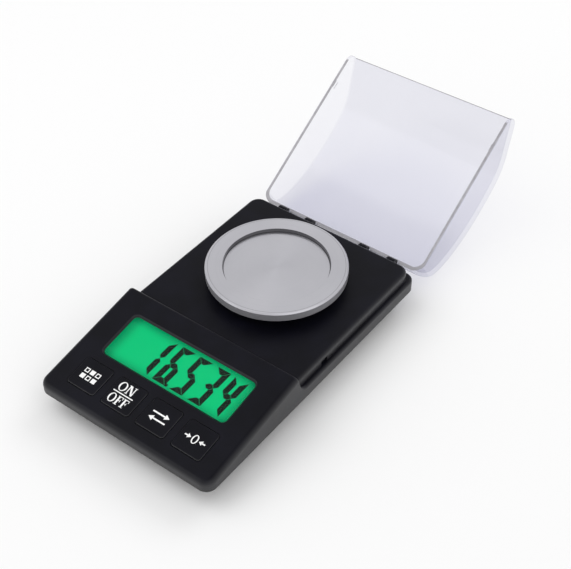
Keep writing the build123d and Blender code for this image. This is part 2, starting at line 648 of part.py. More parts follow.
BOARD_UNDER = BOARD_DEPTH + BOARD_THICKNESS
parts["main_board"] = main_board()
parts["board_screws"] = pieces(*[
    on_panel(x, along, BOARD_UNDER) * screw(0, BOARD_DEPTH - 2 * WALL) for x, along in BOARD_SCREWS])
switch_body = Box(SWITCH_SIZE, SWITCH_SIZE, SWITCH_HEIGHT, align=UP) - Pos(0, 0, SWITCH_HEIGHT) * (
    Cylinder(PLUNGER_RADIUS + RUNNING_GAP, 2 * (PLUNGER_DEPTH + KEY_TRAVEL + RUNNING_GAP)))
parts["key_switches"] = pieces(*[on_panel(x, KEY_MIDDLE, BOARD_DEPTH) * switch_body for x in KEY_XS])


def underside_chip(x, along, width, height, thickness):
    """A flat part soldered to the underside of the board."""
    return on_panel(x, along, BOARD_UNDER) * Box(width, height, thickness, align=DOWN)


parts["controller_chip"] = underside_chip(*CONTROLLER_AT, *CONTROLLER_SIZE)
parts["converter_chip"] = underside_chip(*CONVERTER_AT, *CONVERTER_SIZE)
capacitor = Cylinder(CAPACITOR_RADIUS, CAPACITOR_HEIGHT, align=DOWN)
parts["board_capacitors"] = pieces(*[
    on_panel(x, CAPACITOR_ALONG, BOARD_UNDER) * capacitor for x in CAPACITOR_XS])


# Keys

def key_cap():
    """A key cap under its own origin, which is the panel's face at the key's middle."""
    top = extrude(key_shape(0), amount=KEY_PROUD + WALL + ASSEMBLY_GAP)
    top = fillet(top.faces().sort_by(Axis.Z)[-1].outer_wire().edges(), KEY_PROUD)
    top = Pos(0, 0, -WALL - ASSEMBLY_GAP) * top
    flange = Pos(0, 0, -WALL - ASSEMBLY_GAP - KEY_FLANGE_THICKNESS) * extrude(
        key_shape(KEY_FLANGE), amount=KEY_FLANGE_THICKNESS)
    stem = Pos(0, 0, -STEM_DEPTH) * Cylinder(KEY_STEM_RADIUS, STEM_DEPTH - WALL, align=UP)
    return top + flange + stem


key_solid = key_cap()
plunger = Pos(0, 0, -STEM_DEPTH) * Cylinder(PLUNGER_RADIUS, PLUNGER_PROUD + PLUNGER_DEPTH, align=DOWN)
for name, x in zip(KEY_NAMES, KEY_XS):
    parts[name] = on_panel(x, KEY_MIDDLE, 0) * key_solid
    parts[name.replace("key", "switch_plunger")] = on_panel(x, KEY_MIDDLE, 0) * plunger


# Load cell and pan support

def beam():
    """A binocular bending beam, held at its front end and free at the back."""
    bar = block(-BEAM_WIDTH / 2, BEAM_WIDTH / 2, FIXED_END_Y, FREE_END_Y, BEAM_Z, BEAM_TOP_Z)
    middle_z = (BEAM_Z + BEAM_TOP_Z) / 2
    for side in (-1, 1):
        eye = Rot(0, 90, 0) * Cylinder(BEAM_EYE_RADIUS, 2 * BEAM_WIDTH)
        bar -= Pos(0, PAN_Y + side * BEAM_EYE_SPACING / 2, middle_z) * eye
    bar -= Pos(0, PAN_Y, middle_z) * Box(2 * BEAM_WIDTH, BEAM_EYE_SPACING, BEAM_SLOT)
    for y in beam_screws(FIXED_END_Y + BEAM_END_GRIP / 2):
        bar -= post(0, y, 0, TALL, SCREW_RADIUS + ASSEMBLY_GAP)
    for y in beam_screws(FREE_END_Y - BEAM_END_GRIP / 2):
        bar -= post(0, y, 0, TALL, SCREW_RADIUS)
    return bar


def carrier():
    """The arm on the beam's free end, and the post that comes up under the middle of the pan."""
    foot = block(-BEAM_WIDTH / 2, BEAM_WIDTH / 2, FREE_END_Y - BEAM_END_GRIP, FREE_END_Y,
                 BEAM_TOP_Z, ARM_TOP_Z)
    arm = block(-BEAM_WIDTH / 2, BEAM_WIDTH / 2, PAN_Y - 1.5 * POST_RADIUS, FREE_END_Y, ARM_Z, ARM_TOP_Z)
    body = foot + arm + post(0, PAN_Y, ARM_Z, TABLE_UNDER_Z, POST_RADIUS)
    for y in beam_screws(FREE_END_Y - BEAM_END_GRIP / 2):
        body -= post(0, y, 0, TALL, SCREW_RADIUS + ASSEMBLY_GAP)
    return body - post(0, PAN_Y, TABLE_UNDER_Z - POST_RADIUS, TALL, SCREW_RADIUS)


def pan_table():
    table = post(0, PAN_Y, TABLE_UNDER_Z, TABLE_TOP_Z, TABLE_RADIUS)
    table -= post(0, PAN_Y, 0, TALL, SCREW_RADIUS + ASSEMBLY_GAP)
    table -= post(0, PAN_Y, TABLE_TOP_Z - TABLE_SINK, TALL, SCREW_HEAD_RADIUS + 2 * ASSEMBLY_GAP)
    return table


def weighing_pan():
    """The turned steel pan: a raised ring round a shallow floor, a skirt, and a locating collar below."""
    collar = TABLE_RADIUS + SPIGOT_GAP
    skirt_z = PAN_TOP_Z - PAN_SIDE
    outline = [
        (0, PAN_FLOOR_Z),
        (PAN_RECESS_RADIUS, PAN_FLOOR_Z),
        (PAN_RECESS_RADIUS + PAN_CHAMFER / 2, PAN_TOP_Z),
        (PAN_RADIUS - PAN_CHAMFER, PAN_TOP_Z),
        (PAN_RADIUS, PAN_TOP_Z - PAN_CHAMFER),
        (PAN_RADIUS, skirt_z),
        (PAN_RADIUS - PAN_SHEET, skirt_z),
        (PAN_RADIUS - PAN_SHEET, PAN_TOP_Z - PAN_SHEET),
        (PAN_RECESS_RADIUS + PAN_SHEET, PAN_TOP_Z - PAN_SHEET),
        (PAN_RECESS_RADIUS + PAN_SHEET, PAN_UNDER_Z),
        (collar + PAN_SHEET, PAN_UNDER_Z),
        (collar + PAN_SHEET, PAN_UNDER_Z - PAN_SPIGOT),
        (collar, PAN_UNDER_Z - PAN_SPIGOT),
        (collar, PAN_UNDER_Z),
        (0, PAN_UNDER_Z),
    ]
    face = make_face(Polyline(*outline, close=True))
    return Pos(0, PAN_Y, 0) * revolve(Plane.XZ * face, Axis.Z)


gauges = []
for side in (-1, 1):
    gauge_y = PAN_Y + side * BEAM_EYE_SPACING / 2
    for z in (BEAM_TOP_Z, BEAM_Z - GAUGE_THICKNESS):
        half_y, half_x = GAUGE_SIZE[0] / 2, GAUGE_SIZE[1] / 2
        gauges.append(block(-half_x, half_x, gauge_y - half_y, gauge_y + half_y, z, z + GAUGE_THICKNESS))
parts["load_cell_beam"] = beam()
parts["strain_gauges"] = pieces(*gauges)
parts["load_cell_arm"] = carrier()
parts["fixed_end_screws"] = pieces(*[
    screw(BEAM_TOP_Z, FLOOR_Z - FLOOR / 2 + ASSEMBLY_GAP, 0, y)
    for y in beam_screws(FIXED_END_Y + BEAM_END_GRIP / 2)])
parts["free_end_screws"] = pieces(*[
    screw(ARM_TOP_Z, BEAM_Z + ASSEMBLY_GAP, 0, y)
    for y in beam_screws(FREE_END_Y - BEAM_END_GRIP / 2)])
parts["overload_stop_screw"] = post(0, FREE_END_Y - BEAM_END_GRIP / 2, FLOOR_Z - FLOOR / 2, BEAM_Z - STOP_GAP,
                                    SCREW_RADIUS)
parts["pan_table"] = pan_table()
parts["pan_table_screw"] = screw(TABLE_TOP_Z - TABLE_SINK, TABLE_UNDER_Z - POST_RADIUS, 0, PAN_Y)
parts["pan_cushion"] = post(0, PAN_Y, TABLE_TOP_Z, PAN_UNDER_Z, TABLE_RADIUS) - post(
    0, PAN_Y, 0, TALL, CUSHION_INNER)
parts["weighing_pan"] = weighing_pan()


# Clear shield

def shield_profile(inset):
    """The shield's side outline, closed and drawn in by the inset: an arch over a low back wall, with a
    sloping front and a rounded nose."""
    reach = (BODY_LENGTH - LID_POINT_Y) / 2
    middle_y = BODY_LENGTH - reach
    arch_height = LID_HEIGHT - LID_BACK_WALL
    brow_cosine = (middle_y - LID_BROW_Y) / reach
    brow_rise = LID_BACK_WALL + arch_height * sqrt(1 - brow_cosine ** 2)
    slope_length = sqrt(LID_BROW_RUN ** 2 + brow_rise ** 2)
    arch = EllipticalCenterArc((middle_y, RIM_Z + LID_BACK_WALL), reach - inset, arch_height - inset, 0,
                               arc_size=180 - degrees(acos(brow_cosine)))
    point = (LID_POINT_Y + inset * slope_length / brow_rise, RIM_Z)
    heel = (BODY_LENGTH - inset, RIM_Z)
    face = make_face([arch, Line(arch @ 1, point), Line(point, heel), Line(heel, arch @ 0)])
    face = fillet(face.vertices().sort_by(Axis.X)[0], LID_NOSE_RADIUS - inset)
    brow = face.vertices().sort_by_distance(tuple(arch @ 1))[0]
    return fillet(brow, LID_BROW_RADIUS - inset)


def shield():
    """The shield closed over the pan, then swung open about the hinge."""
    outer = extrude(Plane.YZ * shield_profile(0), amount=BODY_WIDTH / 2, both=True)
    arched = [e for e in outer.edges() if abs(e.center().X) > BODY_WIDTH / 2 - EDGE_ROUND
              and e.center().Z > RIM_Z + LID_HEIGHT / 2]
    outer = fillet(arched, LID_EDGE_ROUND)
    outer &= Pos(0, LID_CORNER_EASE, RIM_Z - WALL) * extrude(plan(0, LID_CORNER), amount=TALL)
    inside = BODY_WIDTH / 2 - LID_WALL
    inner = extrude(Plane.YZ * shield_profile(LID_WALL), amount=inside, both=True)
    inner &= Pos(0, LID_CORNER_EASE, RIM_Z - WALL) * extrude(plan(LID_WALL, LID_CORNER), amount=TALL)
    lid = outer - inner
    lid -= block(-inside, inside, LID_POINT_Y, LID_BROW_Y, 0, PLATFORM_Z + SHEET_EDGE_GAP)
    web = make_face(Polyline(
        (BODY_LENGTH - LID_WALL / 2, RIM_Z),
        (BODY_LENGTH + HINGE_RELIEF, RIM_Z),
        (BODY_LENGTH + 2 * HINGE_RELIEF, HINGE_Z + HINGE_RADIUS / 2),
        (HINGE_Y, HINGE_Z),
        (HINGE_Y + HINGE_RADIUS * cos(radians(45)), HINGE_Z + HINGE_RADIUS * sin(radians(45))),
        (BODY_LENGTH - LID_WALL / 2, RIM_Z + TAB_WEB),
        close=True))
    tab = Pos(HINGE_X, 0, 0) * extrude(Plane.YZ * web, amount=TAB_WIDTH / 2, both=True)
    tab += across(TAB_LEFT, TAB_RIGHT, HINGE_RADIUS)
    lid += mirrored(tab)
    catch_y = BODY_LENGTH - CATCH_BACK
    bump = block(inside - CATCH_BUMP, inside + LID_WALL / 2,
                 catch_y - CATCH_LENGTH / 2, catch_y + CATCH_LENGTH / 2,
                 RIM_Z, RIM_Z + CATCH_HEIGHT)
    lid += mirrored(bump)
    lid = lid.rotate(Axis((0, HINGE_Y, HINGE_Z), (1, 0, 0)), -LID_OPEN)
    heel = block(TAB_LEFT, TAB_RIGHT, BODY_LENGTH + HEEL_GAP, HINGE_Y, HINGE_Z - HEEL_DROP, HINGE_Z)
    lid += mirrored(heel)
    for x0, x1 in EAR_SPANS:
        lid -= mirrored(across(x0 - HINGE_SIDE_GAP, x1 + HINGE_SIDE_GAP, EAR_RADIUS + HINGE_RELIEF))
    return lid - mirrored(across(TAB_LEFT - WALL, TAB_RIGHT + WALL, PIN_RADIUS + PIN_RUNNING_GAP))


parts["shield_lid"] = shield()
pin = across(EAR_SPANS[0][0], EAR_SPANS[1][1], PIN_RADIUS)
parts["hinge_pins"] = pieces(mirrored(pin))


# Leads

def panel_point(x, along, depth):
    """The place as plain coordinates."""
    return tuple(on_panel(x, along, depth).position)


def battery_lead(x, board_x):
    start_y = TRAY_FRONT - 2 * TRAY_WALL
    land = panel_point(board_x, LEAD_LANDING, BOARD_UNDER + ASSEMBLY_GAP)
    points = [(x, start_y, CELL_Z), (x, start_y - LEAD_STRAIGHT, CELL_Z), (board_x, land[1], CELL_Z), land]
    return lead(points, LEAD_RADIUS, LEAD_BEND)


parts["battery_leads"] = pieces(*[battery_lead(x, x + LEAD_SIDESTEP) for x in CELL_XS])
gauge_leads = []
for i in range(4):
    lead_x = BEAM_WIDTH / 2 + GAUGE_LEAD_PITCH * (i + 1)
    lead_y = PAN_Y - GAUGE_LEAD_BACK + GAUGE_LEAD_PITCH * i
    lead_z = (BEAM_Z + BEAM_TOP_Z) / 2
    land = panel_point(lead_x + LEAD_SIDESTEP, LEAD_LANDING, BOARD_UNDER + ASSEMBLY_GAP)
    gauge_leads.append(lead(
        [(BEAM_WIDTH / 2, lead_y, lead_z), (lead_x, lead_y, lead_z),
         (lead_x, FIXED_END_Y - GAUGE_LEAD_RUN, lead_z), (land[0], land[1], lead_z), land],
        GAUGE_LEAD_RADIUS, GAUGE_LEAD_BEND))
parts["load_cell_leads"] = pieces(*gauge_leads)


# Every part is moved so that the origin is under the middle of the open scale

reach = parts["shield_lid"].bounding_box().max.Y
shift = Pos(0, -reach / 2, 0)
os.makedirs("parts", exist_ok=True)
for name, solid in parts.items():
    export_step(shift * solid, f"parts/{name}.step")
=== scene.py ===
from math import cos, pi, radians, sin

import bmesh
import bpy
from mathutils import Matrix, Vector


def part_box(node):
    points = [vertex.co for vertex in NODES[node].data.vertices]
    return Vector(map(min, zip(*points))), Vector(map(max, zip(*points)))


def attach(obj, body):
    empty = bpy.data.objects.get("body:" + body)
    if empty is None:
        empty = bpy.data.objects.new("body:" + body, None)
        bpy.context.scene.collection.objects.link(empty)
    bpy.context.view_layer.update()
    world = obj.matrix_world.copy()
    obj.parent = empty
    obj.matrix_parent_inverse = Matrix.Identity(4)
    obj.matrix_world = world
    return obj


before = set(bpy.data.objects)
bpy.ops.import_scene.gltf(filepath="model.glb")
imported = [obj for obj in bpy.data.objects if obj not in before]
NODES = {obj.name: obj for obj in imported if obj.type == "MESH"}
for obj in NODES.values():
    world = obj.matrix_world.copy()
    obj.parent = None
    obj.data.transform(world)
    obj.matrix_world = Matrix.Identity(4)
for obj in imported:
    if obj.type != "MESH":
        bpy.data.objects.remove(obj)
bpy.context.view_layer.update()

MM = 0.001


# Places, from the CAD nodes and from the slopes of the CAD model

def corners(node):
    """The lowest and the highest corner of a CAD node, in metres."""
    low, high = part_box(node)
    return Vector(low), Vector(high)


def middle_of(node):
    low, high = corners(node)
    return (low + high) / 2


FRONT_Y = corners("lower_casing")[0].y
PANEL_TILT = radians(10.6)
PANEL_START = Vector((0, FRONT_Y, 12.8 * MM))
PANEL_UP = Vector((0, cos(PANEL_TILT), sin(PANEL_TILT)))
PANEL_OUT = Vector((0, -sin(PANEL_TILT), cos(PANEL_TILT)))
PAN_MIDDLE = middle_of("weighing_pan")
HINGE = middle_of("hinge_pins")
LID_OPEN = radians(148.0)
RIM_NORMAL = (0, -sin(LID_OPEN), -cos(LID_OPEN))


def on_panel(x, along, height):
    """A point by its place across and along the inclined panel and its height over it, in millimetres."""
    return PANEL_START + Vector((x * MM, 0, 0)) + PANEL_UP * (along * MM) + PANEL_OUT * (height * MM)


# Mesh pieces

def piece(name, mesh_maker, body, material):
    """A new piece of the scene that rides on a body and takes the material it is given."""
    mesh = bpy.data.meshes.new(name)
    bm = bmesh.new()
    mesh_maker(bm)
    bmesh.ops.recalc_face_normals(bm, faces=bm.faces)
    bm.to_mesh(mesh)
    bm.free()
    obj = bpy.data.objects.new(name, mesh)
    bpy.context.scene.collection.objects.link(obj)
    mesh.materials.append(material)
    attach(obj, body)
    return obj


def add_prism(bm, outline, low, high, hole=None):
    """A flat shape on the panel between two heights, from its outline in panel millimetres.

    A hole has as many points as the outline.
    """
    n = len(outline)
    rings = []
    for loop in [outline] + ([hole] if hole else []):
        bottom = [bm.verts.new(on_panel(x, a, low)) for x, a in loop]
        top = [bm.verts.new(on_panel(x, a, high)) for x, a in loop]
        for i in range(n):
            bm.faces.new((bottom[i], bottom[(i + 1) % n], top[(i + 1) % n], top[i]))
        rings.append((bottom, top))
    for level in (0, 1):
        if hole:
            outer, inner = rings[0][level], rings[1][level]
            for i in range(n):
                bm.faces.new((outer[i], outer[(i + 1) % n], inner[(i + 1) % n], inner[i]))
        else:
            bm.faces.new(rings[0][level])


# Figures of the display, in panel millimetres

STROKE = 2.35
STROKE_GAP = 0.07
FIGURE_LOW, FIGURE_HIGH = 24.2, 41.0
FIGURE_WIDTH = 6.0
LEAN = 0.07
SEGMENTS = {"1": "bc", "3": "abgcd", "4": "fgbc", "5": "afgcd", "6": "afgedc"}
FIGURE_PLACES = (("1", -14.6), ("6", -6.15), ("5", 2.0), ("3", 10.3), ("4", 18.4))
POINT_OUTLINE = [(-0.3, 24.1), (0.85, 24.1), (0.9, 25.3), (-0.25, 25.3)]
GLASS_HEIGHT = -1.88
INK_DEPTH = 0.03


def segment_outline(which, left):
    """The outline of one of the seven strokes of a figure, before the lean."""
    right, top, bottom = left + FIGURE_WIDTH, FIGURE_HIGH, FIGURE_LOW
    middle = (top + bottom) / 2
    half = STROKE / 2
    near, far = left + STROKE_GAP, right - STROKE_GAP
    if which == "g":
        return [(near + half, middle), (near + STROKE, middle + half), (far - STROKE, middle + half),
                (far - half, middle), (far - STROKE, middle - half), (near + STROKE, middle - half)]
    if which in "ad":
        edge, inner = (top, top - STROKE) if which == "a" else (bottom, bottom + STROKE)
        return [(near, edge), (far, edge), (far - STROKE, inner), (near + STROKE, inner)]
    outer, inner = (right, right - STROKE) if which in "bc" else (left, left + STROKE)
    end, side = (top, 1) if which in "bf" else (bottom, -1)
    return [(outer, end - side * STROKE_GAP), (inner, end - side * (STROKE + STROKE_GAP)),
            (inner, middle + side * (half + STROKE_GAP)), ((outer + inner) / 2, middle + side * STROKE_GAP),
            (outer, middle + side * (half + STROKE_GAP))]


def display_figures(bm):
    for figure, left in FIGURE_PLACES:
        for which in SEGMENTS[figure]:
            outline = [(x + LEAN * (a - FIGURE_LOW), a) for x, a in segment_outline(which, left)]
            add_prism(bm, outline, GLASS_HEIGHT, GLASS_HEIGHT + INK_DEPTH)
    add_prism(bm, POINT_OUTLINE, GLASS_HEIGHT, GLASS_HEIGHT + INK_DEPTH)


# Signs on the keys, in panel millimetres

KEY_X = {"count": -24.6, "power": -8.2, "mode": 8.2, "tare": 24.6}
KEY_ALONG = 12.1
SIGN_LOW = 0.352
SIGN_HIGH = 0.375
LETTER_HEIGHT = 3.75
LETTER_N_WIDTH = 3.3
LETTER_F_WIDTH = 2.4
N_STEM_INSET, N_STEM = 0.45, 0.42
F_STEM_INSET, F_STEM = 0.65, 0.72
F_ARM = 0.28
F_ARM_REACH, F_ARM_LEVEL = 0.72 * LETTER_F_WIDTH, 0.52 * LETTER_HEIGHT
SERIF = 0.24
RING_SIDE, RING_TOP = 0.62, 0.3
SQUARE_HALF, SQUARE_BORDER = 0.95, 0.38
SQUARE_PITCH_ACROSS, SQUARE_PITCH_ALONG = 2.6, 2.7
ARROW_LEVEL, ARROW_LINE = 1.25, 0.6
TARE_LINE = 0.55


def stroke(bm, x0, a0, x1, a1, width):
    """A straight printed line."""
    d = Vector((x1 - x0, a1 - a0))
    d.normalize()
    n = Vector((-d.y, d.x)) * (width / 2)
    add_prism(bm, [(x0 + n.x, a0 + n.y), (x1 + n.x, a1 + n.y), (x1 - n.x, a1 - n.y), (x0 - n.x, a0 - n.y)],
              SIGN_LOW, SIGN_HIGH)


def level_stroke(bm, x0, x1, a, width):
    stroke(bm, x0, a, x1, a, width)


def upright_stroke(bm, x, a0, a1, width):
    stroke(bm, x, a0, x, a1, width)


def ellipse(x, a, rx, ra, count=36):
    """The points of an oval outline."""
    turns = [2 * pi * i / count for i in range(count)]
    return [(x + rx * cos(turn), a + ra * sin(turn)) for turn in turns]


def oval(bm, x, a, rx, ra, thick_x=RING_SIDE, thick_a=RING_TOP):
    """A printed ring with thick sides and thin top and bottom."""
    add_prism(bm, ellipse(x, a, rx, ra), SIGN_LOW, SIGN_HIGH, ellipse(x, a, rx - thick_x, ra - thick_a))


def letter_n(bm, x, a):
    """A capital N with serifs, from its lower left corner."""
    right, top = x + LETTER_N_WIDTH, a + LETTER_HEIGHT
    upright_stroke(bm, x + N_STEM_INSET, a, top, N_STEM)
    upright_stroke(bm, right - N_STEM_INSET, a, top, N_STEM)
    add_prism(bm, [(x + 0.2, top), (x + 1.15, top), (right - 0.25, a), (right - 0.95, a)],
              SIGN_LOW, SIGN_HIGH + 0.002)
    level_stroke(bm, x - 0.1, x + 1.0, a + SERIF / 2, SERIF)
    level_stroke(bm, x - 0.1, x + 0.9, top - SERIF / 2, SERIF)
    level_stroke(bm, right - 1.0, right + 0.1, top - SERIF / 2, SERIF)


def letter_f(bm, x, a):
    """A capital F with serifs, from its lower left corner."""
    right, top, arm_end = x + LETTER_F_WIDTH, a + LETTER_HEIGHT, x + F_ARM_REACH
    upright_stroke(bm, x + F_STEM_INSET, a, top, F_STEM)
    level_stroke(bm, x, right, top - F_ARM / 2, F_ARM)
    level_stroke(bm, x + 0.9, arm_end, a + F_ARM_LEVEL, F_ARM)
    upright_stroke(bm, right - 0.14, top - 1.0, top, 0.26)
    upright_stroke(bm, arm_end, a + 0.38 * LETTER_HEIGHT, a + 0.66 * LETTER_HEIGHT, 0.22)
    level_stroke(bm, x - 0.05, x + 1.4, a + SERIF / 2, SERIF)


def power_sign(bm):
    """The words ON and OFF, over and under a line."""
    x, a = KEY_X["power"], KEY_ALONG
    oval(bm, x - 2.95, a + 2.95, 1.7, 1.95)
    letter_n(bm, x - 0.85, a + 1.1)
    level_stroke(bm, x - 5.3, x + 3.8, a + 0.27, 0.42)
    oval(bm, x - 3.55, a - 2.55, 1.55, 1.95)
    letter_f(bm, x - 1.65, a - 4.4)
    letter_f(bm, x + 1.05, a - 4.4)


def square(x, a, half):
    return [(x - half, a - half), (x + half, a - half), (x + half, a + half), (x - half, a + half)]


def count_sign(bm):
    """A three by two group of squares, for counting pieces, every other one open."""
    for column in range(3):
        for row in range(2):
            x = KEY_X["count"] + SQUARE_PITCH_ACROSS * (column - 1)
            a = KEY_ALONG + SQUARE_PITCH_ALONG * (row - 0.5)
            hole = square(x, a, SQUARE_HALF - SQUARE_BORDER) if (column + row) % 2 else None
            add_prism(bm, square(x, a, SQUARE_HALF), SIGN_LOW, SIGN_HIGH, hole)


def arrow_head(bm, tip_x, base_x, a, half_width):
    add_prism(bm, [(tip_x, a), (base_x, a + half_width), (base_x, a - half_width)], SIGN_LOW, SIGN_HIGH)


def mode_sign(bm):
    """Two opposed arrows, for changing the unit."""
    x = KEY_X["mode"]
    for way in (1, -1):
        a = KEY_ALONG + way * ARROW_LEVEL
        level_stroke(bm, x - 3.6 * way, x + 2.0 * way, a, ARROW_LINE)
        arrow_head(bm, x + 3.8 * way, x + 1.8 * way, a, 1.1)


def tare_sign(bm):
    """Two arrows that point at a nought, for setting it back to nought."""
    x, a = KEY_X["tare"], KEY_ALONG
    oval(bm, x, a, 1.25, 1.85, 0.5, 0.34)
    for way in (-1, 1):
        level_stroke(bm, x + 4.5 * way, x + 2.9 * way, a, TARE_LINE)
        arrow_head(bm, x + 1.75 * way, x + 3.2 * way, a, 0.95)


# Depths of relief and roundness of edges in the materials, and the nodes that make them

GRAIN_DEPTH = 0.02 * MM
TURNING_DEPTH = 0.01 * MM
CASING_EDGE = 0.2 * MM
KEY_EDGE = 0.3 * MM


def new_material(name):
    """A material, its node tree and its shader."""
    material = bpy.data.materials.new(name)
    material.use_nodes = True
    tree = material.node_tree
    shader = next(n for n in tree.nodes if n.type == "BSDF_PRINCIPLED")
    return material, tree, shader


def add_node(tree, kind, inputs=None, **settings):
    """A node with its settings, each input either linked to a socket or set to a value."""
    node = tree.nodes.new("ShaderNode" + kind)
    for name, value in settings.items():
        setattr(node, name, value)
    for key, value in (inputs or {}).items():
        if isinstance(value, bpy.types.NodeSocket):
            tree.links.new(value, node.inputs[key])
        else:
            node.inputs[key].default_value = value
    return node


def math_node(tree, operation, *values):
    """A sum, product, power or test of values, each a socket or a number."""
    return add_node(tree, "Math", dict(enumerate(values)), operation=operation).outputs["Value"]


def vector_node(tree, operation, *vectors):
    """Vector arithmetic: the length and the dot product give a number, and the rest give a vector."""
    node = add_node(tree, "VectorMath", dict(enumerate(vectors)), operation=operation)
    return node.outputs["Value" if operation in ("LENGTH", "DOT_PRODUCT") else "Vector"]


def mix_shader(tree, factor, first, second):
    """The first shader node where the factor is 0, and the second where it is 1."""
    return add_node(tree, "MixShader", {"Fac": factor, 1: first.outputs[0], 2: second.outputs[0]})


def coordinates(tree, kind="Object"):
    """The object's own coordinates in metres, or its normal, or its place in its own box."""
    return add_node(tree, "TexCoord").outputs[kind]


def normal_part(tree, axis):
    """How far the surface faces along one of the object's axes."""
    return add_node(tree, "SeparateXYZ", {"Vector": coordinates(tree, "Normal")}).outputs[axis]


def object_noise(tree, scale, detail=3.0, stretch=(1, 1, 1)):
    """Noise over the object's own coordinates, finer along an axis with a larger stretch."""
    place = add_node(tree, "Mapping", {"Vector": coordinates(tree), "Scale": stretch})
    noise = add_node(tree, "TexNoise", {"Vector": place.outputs["Vector"], "Scale": scale, "Detail": detail})
    return noise.outputs["Fac"]


def ramp(tree, source, low, high, start=0.35, end=0.65):
    """A colour between two, by a value between start and end."""
    node = add_node(tree, "ValToRGB", {"Fac": source})
    node.color_ramp.elements[0].position = start
    node.color_ramp.elements[1].position = end
    node.color_ramp.elements[0].color = low
    node.color_ramp.elements[1].color = high
    return node.outputs["Color"]


def spread(tree, source, low, high, start=0.0, end=1.0, **settings):
    """A value between low and high, by a value between start and end."""
    limits = {"From Min": start, "From Max": end, "To Min": low, "To Max": high}
    return add_node(tree, "MapRange", {"Value": source, **limits}, **settings).outputs["Result"]


def bump(tree, shader, source, strength, distance, edge_radius=0.0):
    """Fine relief in the surface, over edges that are eased by the radius."""
    node = add_node(tree, "Bump", {"Strength": strength, "Distance": distance, "Height": source})
    if edge_radius:
        eased = add_node(tree, "Bevel", {"Radius": edge_radius})
        tree.links.new(eased.outputs["Normal"], node.inputs["Normal"])
    tree.links.new(node.outputs["Normal"], shader.inputs["Normal"])


def darkened(tree, colour, mask, shade):
    """The colour, multiplied by a grey where the mask is 1."""
    node = add_node(tree, "Mix", {"Factor": mask}, data_type="RGBA", blend_type="MULTIPLY")
    colour_in, shade_in = (socket for socket in node.inputs if socket.type == "RGBA")
    tree.links.new(colour, colour_in)
    shade_in.default_value = (shade, shade, shade, 1)
    return next(socket for socket in node.outputs if socket.type == "RGBA")


def srgb(r, g, b):
    """A colour given as screen values from 0 to 255."""
    def linear(c):
        c = c / 255
        return c / 12.92 if c <= 0.04045 else ((c + 0.055) / 1.055) ** 2.4
    return (linear(r), linear(g), linear(b), 1.0)


# Materials

def moulded(name, dark, light, rough, grain, specular=0.3, grain_scale=4200.0, side_specular=None,
            edge_radius=0.0):
    """Moulded plastic: a faint mottle, fine grain, uneven gloss and, where asked, glossier sides."""
    material, tree, shader = new_material(name)
    tree.links.new(ramp(tree, object_noise(tree, 90.0), dark, light), shader.inputs["Base Color"])
    gloss = spread(tree, object_noise(tree, 320.0), rough - 0.05, rough + 0.05)
    tree.links.new(gloss, shader.inputs["Roughness"])
    bump(tree, shader, object_noise(tree, grain_scale, 2.0), grain, GRAIN_DEPTH, edge_radius)
    if side_specular is None:
        shader.inputs["Specular IOR Level"].default_value = specular
    else:
        by_slope = spread(tree, normal_part(tree, "Z"), side_specular, specular, 0.3, 0.96)
        tree.links.new(by_slope, shader.inputs["Specular IOR Level"])
    return material


def turned_steel():
    """The pan's steel: fine turning lines round its middle, with gloss drawn out along them."""
    material, tree, shader = new_material("turned_steel")
    from_middle = vector_node(tree, "SUBTRACT", coordinates(tree), (PAN_MIDDLE.x, PAN_MIDDLE.y, 0))
    flat = vector_node(tree, "MULTIPLY", from_middle, (1, 1, 0))
    radius = vector_node(tree, "LENGTH", flat)
    lines = add_node(tree, "TexNoise", {"W": radius, "Scale": 6500.0, "Detail": 3.0}, noise_dimensions="1D")
    lines = lines.outputs["Fac"]
    around = vector_node(tree, "CROSS_PRODUCT", (0, 0, 1), flat)
    tree.links.new(vector_node(tree, "NORMALIZE", around), shader.inputs["Tangent"])
    cloud = spread(tree, object_noise(tree, 60.0, 2.0), 0.0, 0.3)
    mottle = math_node(tree, "MULTIPLY_ADD", lines, 0.7, cloud)
    steel = ramp(tree, mottle, srgb(168, 168, 174), srgb(190, 189, 194), 0.2, 0.8)
    # Painted dark rings: the wider, darker one is a painted reflection of something dark in the recess wall
    # at the edge of the recess, and the thin outer one is a darker line near the rim
    for line_radius, half_width, shade in ((20.6, 0.25, 0.25), (26.5, 0.07, 0.5)):
        line = math_node(tree, "COMPARE", radius, line_radius * MM, half_width * MM)
        steel = darkened(tree, steel, line, shade)
    tree.links.new(steel, shader.inputs["Base Color"])
    tree.links.new(spread(tree, lines, 0.26, 0.34), shader.inputs["Roughness"])
    bump(tree, shader, lines, 0.12, TURNING_DEPTH)
    tree.links.new(spread(tree, normal_part(tree, "Z"), 0.5, 1.0, 0.2, 0.8), shader.inputs["Metallic"])
    shader.inputs["Anisotropic"].default_value = 0.55
    return material


